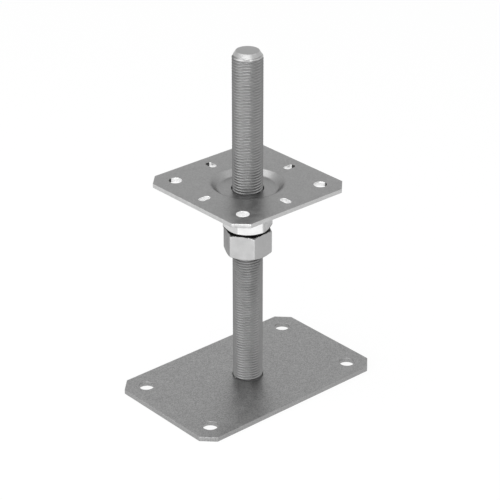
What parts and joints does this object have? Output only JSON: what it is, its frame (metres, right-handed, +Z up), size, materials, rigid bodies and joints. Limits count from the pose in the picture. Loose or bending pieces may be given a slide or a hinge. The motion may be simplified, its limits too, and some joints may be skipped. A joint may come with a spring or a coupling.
{
  "type": "adjustable pedestal support",
  "caption": "Adjustable pedestal support: drilled base plate with an upright threaded rod, hexagon nut and sleeve, and a square dished head plate that the nut raises and lowers.",
  "frame": {"origin": "on the rod's axis at the underside of the base plate, where it stands on the ground", "axes": "+Z up along the rod, +X along the base plate's long side, +Y along its short side"},
  "size_m": [0.16, 0.1, 0.251],
  "materials": {
    "base_plate_zinc": "hot-dip galvanised sheet, satin, finely grained",
    "rod_zinc": "galvanised thread, satin",
    "nut_zinc": "bright zinc plated, smooth satin",
    "sleeve_zinc": "bright zinc plated, smooth satin",
    "head_plate_zinc": "hot-dip galvanised sheet, satin, finely grained"
  },
  "bodies": {
    "base": {"base_plate": "base_plate_zinc", "threaded_rod": "rod_zinc"},
    "sleeve": {"hexagon_sleeve": "sleeve_zinc"},
    "nut": {"adjusting_nut": "nut_zinc"},
    "head": {"head_plate": "head_plate_zinc"}
  },
  "joints": [
    {"name": "height_adjust", "type": "slide", "parent": "base", "child": "sleeve", "axis": [0, 0, 1], "range_m": [-0.096, 0.094]},
    {"name": "nut_turn", "type": "hinge", "parent": "sleeve", "child": "nut", "pos_m": [0, 0, 0.112], "axis": [0, 0, 1], "range_deg": [-17280, 16920]},
    {"name": "plate_swivel", "type": "hinge", "parent": "sleeve", "child": "head", "pos_m": [0, 0, 0.148], "axis": [0, 0, 1], "continuous": true}
  ],
  "couplings": [
    {"joint": "nut_turn", "follows": "height_adjust", "rad_per_m": 3141.6}
  ]
}
